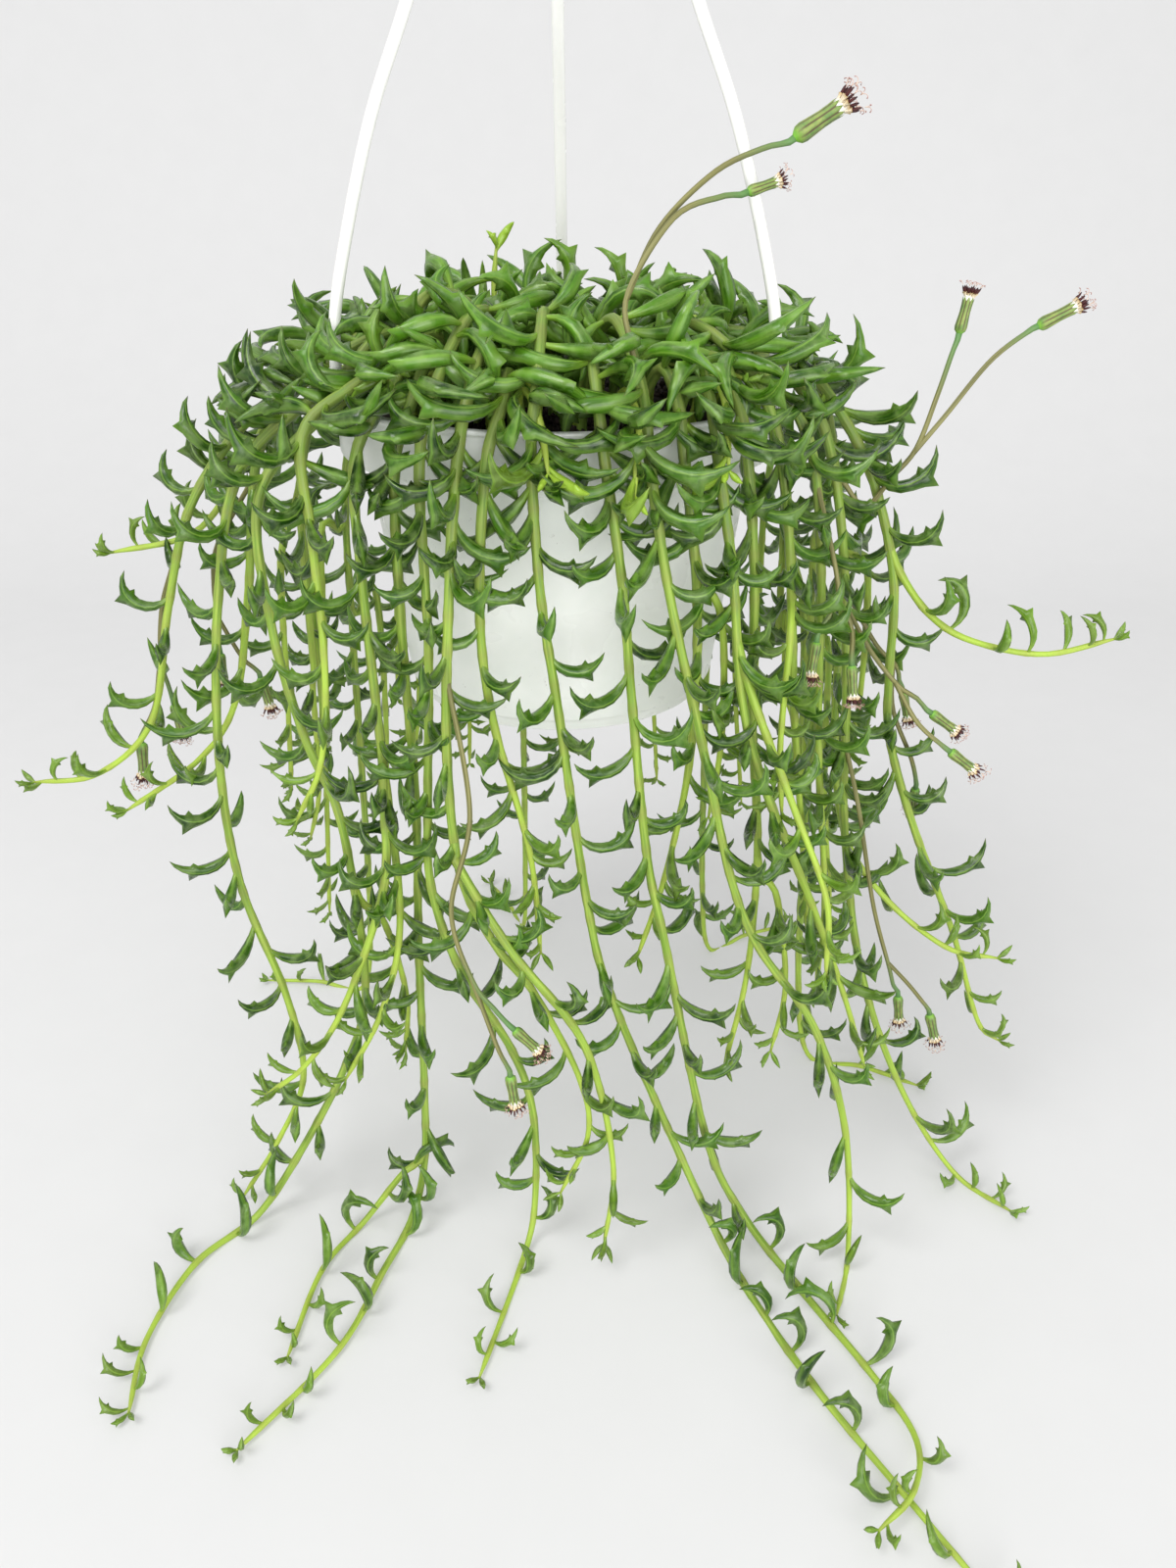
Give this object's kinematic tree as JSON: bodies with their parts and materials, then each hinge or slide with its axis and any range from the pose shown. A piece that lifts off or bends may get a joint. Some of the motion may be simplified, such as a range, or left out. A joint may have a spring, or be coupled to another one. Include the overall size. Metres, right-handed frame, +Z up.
{
  "type": "potted string of dolphins",
  "caption": "Trailing succulent with crescent leaves and tufted flowers, planted in a white nursery pot that hangs from a moulded three-armed hanger with a hook.",
  "frame": {"origin": "on the inner face of the hanger's hook, at the point where it bears on its rail, above the pot's centre", "axes": "+Z up, -Y towards the plant's front with its fullest stems, +X to the right seen from the front"},
  "size_m": [0.3694, 0.3994, 0.5721],
  "materials": {
    "white_pot": "smooth moulded",
    "white_hanger": "glossy moulded",
    "potting_mix": "loose and crumbly",
    "foliage": "waxy satin",
    "flower_stalks": "satin",
    "florets": "soft matt"
  },
  "bodies": {
    "root": {"pot": "white_pot", "hanger": "white_hanger", "potting_mix": "potting_mix", "leafy_stem_01": "foliage", "leafy_stem_02": "foliage", "leafy_stem_03": "foliage", "leafy_stem_04": "foliage", "leafy_stem_05": "foliage", "leafy_stem_06": "foliage", "leafy_stem_07": "foliage", "leafy_stem_08": "foliage", "leafy_stem_09": "foliage", "leafy_stem_10": "foliage", "leafy_stem_11": "foliage", "leafy_stem_12": "foliage", "leafy_stem_13": "foliage", "leafy_stem_14": "foliage", "leafy_stem_15": "foliage", "leafy_stem_16": "foliage", "leafy_stem_17": "foliage", "leafy_stem_18": "foliage", "leafy_stem_19": "foliage", "leafy_stem_20": "foliage", "leafy_stem_21": "foliage", "leafy_stem_22": "foliage", "leafy_stem_23": "foliage", "leafy_stem_24": "foliage", "leafy_stem_25": "foliage", "leafy_stem_26": "foliage", "leafy_stem_27": "foliage", "leafy_stem_28": "foliage", "leafy_stem_29": "foliage", "leafy_stem_30": "foliage", "flower_spray_01": "flower_stalks", "flower_tuft_01a": "florets", "flower_tuft_01b": "florets", "flower_spray_02": "flower_stalks", "flower_tuft_02a": "florets", "flower_tuft_02b": "florets", "flower_spray_03": "flower_stalks", "flower_tuft_03a": "florets", "flower_tuft_03b": "florets", "flower_spray_04": "flower_stalks", "flower_tuft_04a": "florets", "flower_tuft_04b": "florets", "flower_spray_05": "flower_stalks", "flower_tuft_05a": "florets", "flower_tuft_05b": "florets", "flower_spray_06": "flower_stalks", "flower_tuft_06a": "florets", "flower_tuft_06b": "florets", "flower_spray_07": "flower_stalks", "flower_tuft_07a": "florets", "flower_tuft_07b": "florets", "flower_spray_08": "flower_stalks", "flower_tuft_08a": "florets", "flower_tuft_08b": "florets", "flower_spray_09": "flower_stalks", "flower_tuft_09a": "florets", "flower_tuft_09b": "florets"}
  },
  "joints": []
}
